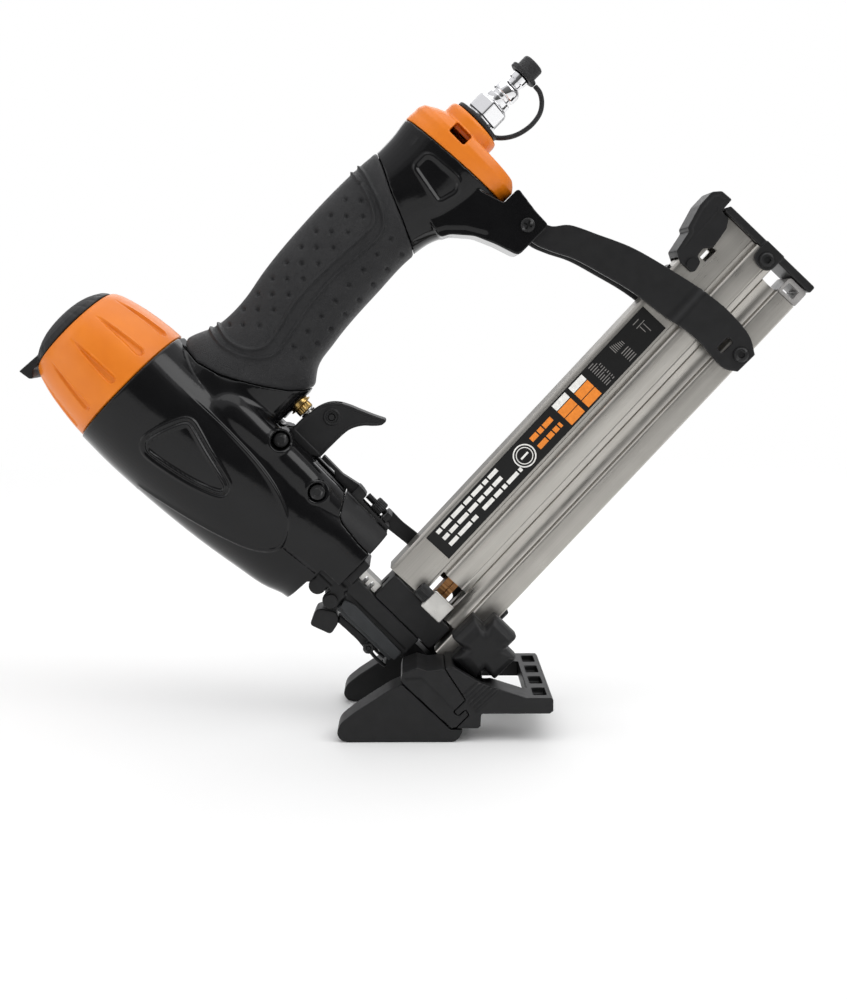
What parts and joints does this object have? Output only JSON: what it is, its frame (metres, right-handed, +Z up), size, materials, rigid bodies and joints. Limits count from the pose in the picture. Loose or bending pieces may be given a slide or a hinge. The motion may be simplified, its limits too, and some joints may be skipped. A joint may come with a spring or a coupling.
{
  "type": "brad nailer",
  "caption": "Pneumatic brad nailer and stapler on a flooring base, with an angled sliding magazine, rubber grip, trigger, safety arm, nose latch and turning exhaust cap.",
  "frame": {"origin": "middle of the footprint of the whole tool, at the level of the shoe soles", "axes": "+X along the floor towards the rear end of the magazine, +Y across the tool to its right hand side, +Z up"},
  "size_m": [0.3501, 0.084, 0.296],
  "materials": {
    "gloss_black": "gloss black paint on die-cast aluminium",
    "matte_black": "fine matte moulded nylon",
    "soft_rubber": "soft leather-grained rubber",
    "orange": "satin orange moulding",
    "black_steel": "black oxide steel",
    "bright_steel": "bright zinc steel",
    "chrome": "polished chrome",
    "aluminium_profile": "brushed extruded aluminium",
    "cast_black": "black painted die casting",
    "copper_coat": "copper-coloured coated wire",
    "brass": "machined brass",
    "grey_plastic": "grey moulded plastic",
    "label": null
  },
  "bodies": {
    "root": {"main_housing": "gloss_black", "lower_guard": "matte_black", "handle_grip": "soft_rubber", "rear_cap": "orange", "air_plug": "chrome", "dust_cap_strap": "soft_rubber", "top_cap": "orange", "deflector_screw": "black_steel", "cylinder_sleeve": "aluminium_profile", "bumper": "soft_rubber", "head_valve": "matte_black", "head_valve_spring": "bright_steel", "trigger_pivot_pin": "black_steel", "guide_pin": "black_steel", "trigger_valve_body": "brass", "trigger_valve_spring": "bright_steel", "nose_body": "black_steel", "guide_plate": "bright_steel", "door_hinge_pin": "black_steel", "front_block": "cast_black", "clamp_block": "bright_steel", "clamp_screw": "black_steel", "magazine_rail": "aluminium_profile", "fastener_stick": "copper_coat", "rear_bracket_left": "black_steel", "rear_bracket_right": "black_steel", "bracket_upper_screw": "black_steel", "bracket_lower_screw_left": "black_steel", "bracket_lower_screw_right": "black_steel", "base_block": "cast_black", "floor_plate": "cast_black", "left_shoe": "matte_black", "right_shoe": "matte_black"},
    "deflector": {"exhaust_deflector": "matte_black"},
    "piston": {"piston": "aluminium_profile", "piston_ring": "soft_rubber", "driver_blade": "bright_steel"},
    "trigger": {"trigger": "matte_black", "trigger_rocker": "bright_steel"},
    "valve_stem": {"trigger_valve_stem": "bright_steel"},
    "safety": {"upper_safety_arm": "black_steel", "lower_safety_arm": "black_steel"},
    "depth_wheel": {"depth_wheel": "black_steel"},
    "door": {"nose_door": "cast_black", "latch_pin": "black_steel"},
    "latch_lever": {"latch_lever": "black_steel"},
    "latch_wire": {"latch_wire": "black_steel"},
    "magazine": {"magazine_cover": "aluminium_profile", "rating_label": "label", "end_plate": "black_steel", "end_screw_left": "black_steel", "end_screw_right": "black_steel", "end_block": "grey_plastic", "magazine_latch_pin": "black_steel", "latch_leaf_spring": "black_steel"},
    "magazine_latch": {"magazine_latch": "matte_black"},
    "pusher": {"pusher": "bright_steel"},
    "dust_cap": {"dust_cap": "soft_rubber"},
    "left_knob": {"left_knob": "matte_black"},
    "right_knob": {"right_knob": "matte_black"}
  },
  "joints": [
    {"name": "deflector_turn", "type": "hinge", "parent": "root", "child": "deflector", "pos_m": [-0.15099, 0, 0.17692], "axis": [-0.7071, 0, 0.7071], "continuous": true},
    {"name": "piston_stroke", "type": "slide", "parent": "root", "child": "piston", "axis": [0.7071, 0, -0.7071], "range_m": [0, 0.052]},
    {"name": "trigger_pull", "type": "hinge", "parent": "root", "child": "trigger", "pos_m": [-0.05857, 0, 0.12947], "axis": [0, -1, 0], "range_deg": [0, 8], "stiffness_Nm_per_rad": 0.4},
    {"name": "valve_stem_slide", "type": "slide", "parent": "root", "child": "valve_stem", "axis": [-0.7071, 0, 0.7071], "range_m": [0, 0.0022]},
    {"name": "safety_slide", "type": "slide", "parent": "root", "child": "safety", "axis": [-0.7071, 0, 0.7071], "range_m": [0, 0.007], "stiffness_N_per_m": 400},
    {"name": "depth_wheel_turn", "type": "hinge", "parent": "safety", "child": "depth_wheel", "pos_m": [-0.01629, 0, 0.09779], "axis": [-0.7071, 0, 0.7071], "continuous": true},
    {"name": "door_open", "type": "hinge", "parent": "root", "child": "door", "pos_m": [-0.03771, 0, 0.05657], "axis": [0, 1, 0], "range_deg": [0, 60]},
    {"name": "latch_lever_turn", "type": "hinge", "parent": "door", "child": "latch_lever", "pos_m": [-0.0211, 0, 0.03359], "axis": [0, -1, 0], "range_deg": [0, 90]},
    {"name": "latch_wire_turn", "type": "hinge", "parent": "door", "child": "latch_wire", "pos_m": [-0.0211, 0, 0.03359], "axis": [0, 1, 0], "range_deg": [0, 45]},
    {"name": "magazine_slide", "type": "slide", "parent": "root", "child": "magazine", "axis": [0.6794, 0, 0.7337], "range_m": [0, 0.11]},
    {"name": "magazine_latch_lift", "type": "hinge", "parent": "magazine", "child": "magazine_latch", "pos_m": [0.12143, 0, 0.20577], "axis": [0, -1, 0], "range_deg": [0, 12], "stiffness_Nm_per_rad": 0.4},
    {"name": "pusher_slide", "type": "slide", "parent": "root", "child": "pusher", "axis": [0.6794, 0, 0.7337], "range_m": [0, 0.09]},
    {"name": "dust_cap_pull", "type": "slide", "parent": "root", "child": "dust_cap", "axis": [0.7071, 0, 0.7071], "range_m": [0, 0.014]},
    {"name": "left_knob_turn", "type": "hinge", "parent": "root", "child": "left_knob", "pos_m": [0.0304, 0, 0.0392], "axis": [0, 1, 0], "continuous": true},
    {"name": "right_knob_turn", "type": "hinge", "parent": "root", "child": "right_knob", "pos_m": [0.0304, 0, 0.0392], "axis": [0, 1, 0], "continuous": true}
  ],
  "couplings": [
    {"joint": "valve_stem_slide", "follows": "trigger_pull", "m_per_rad": 0.0152}
  ]
}
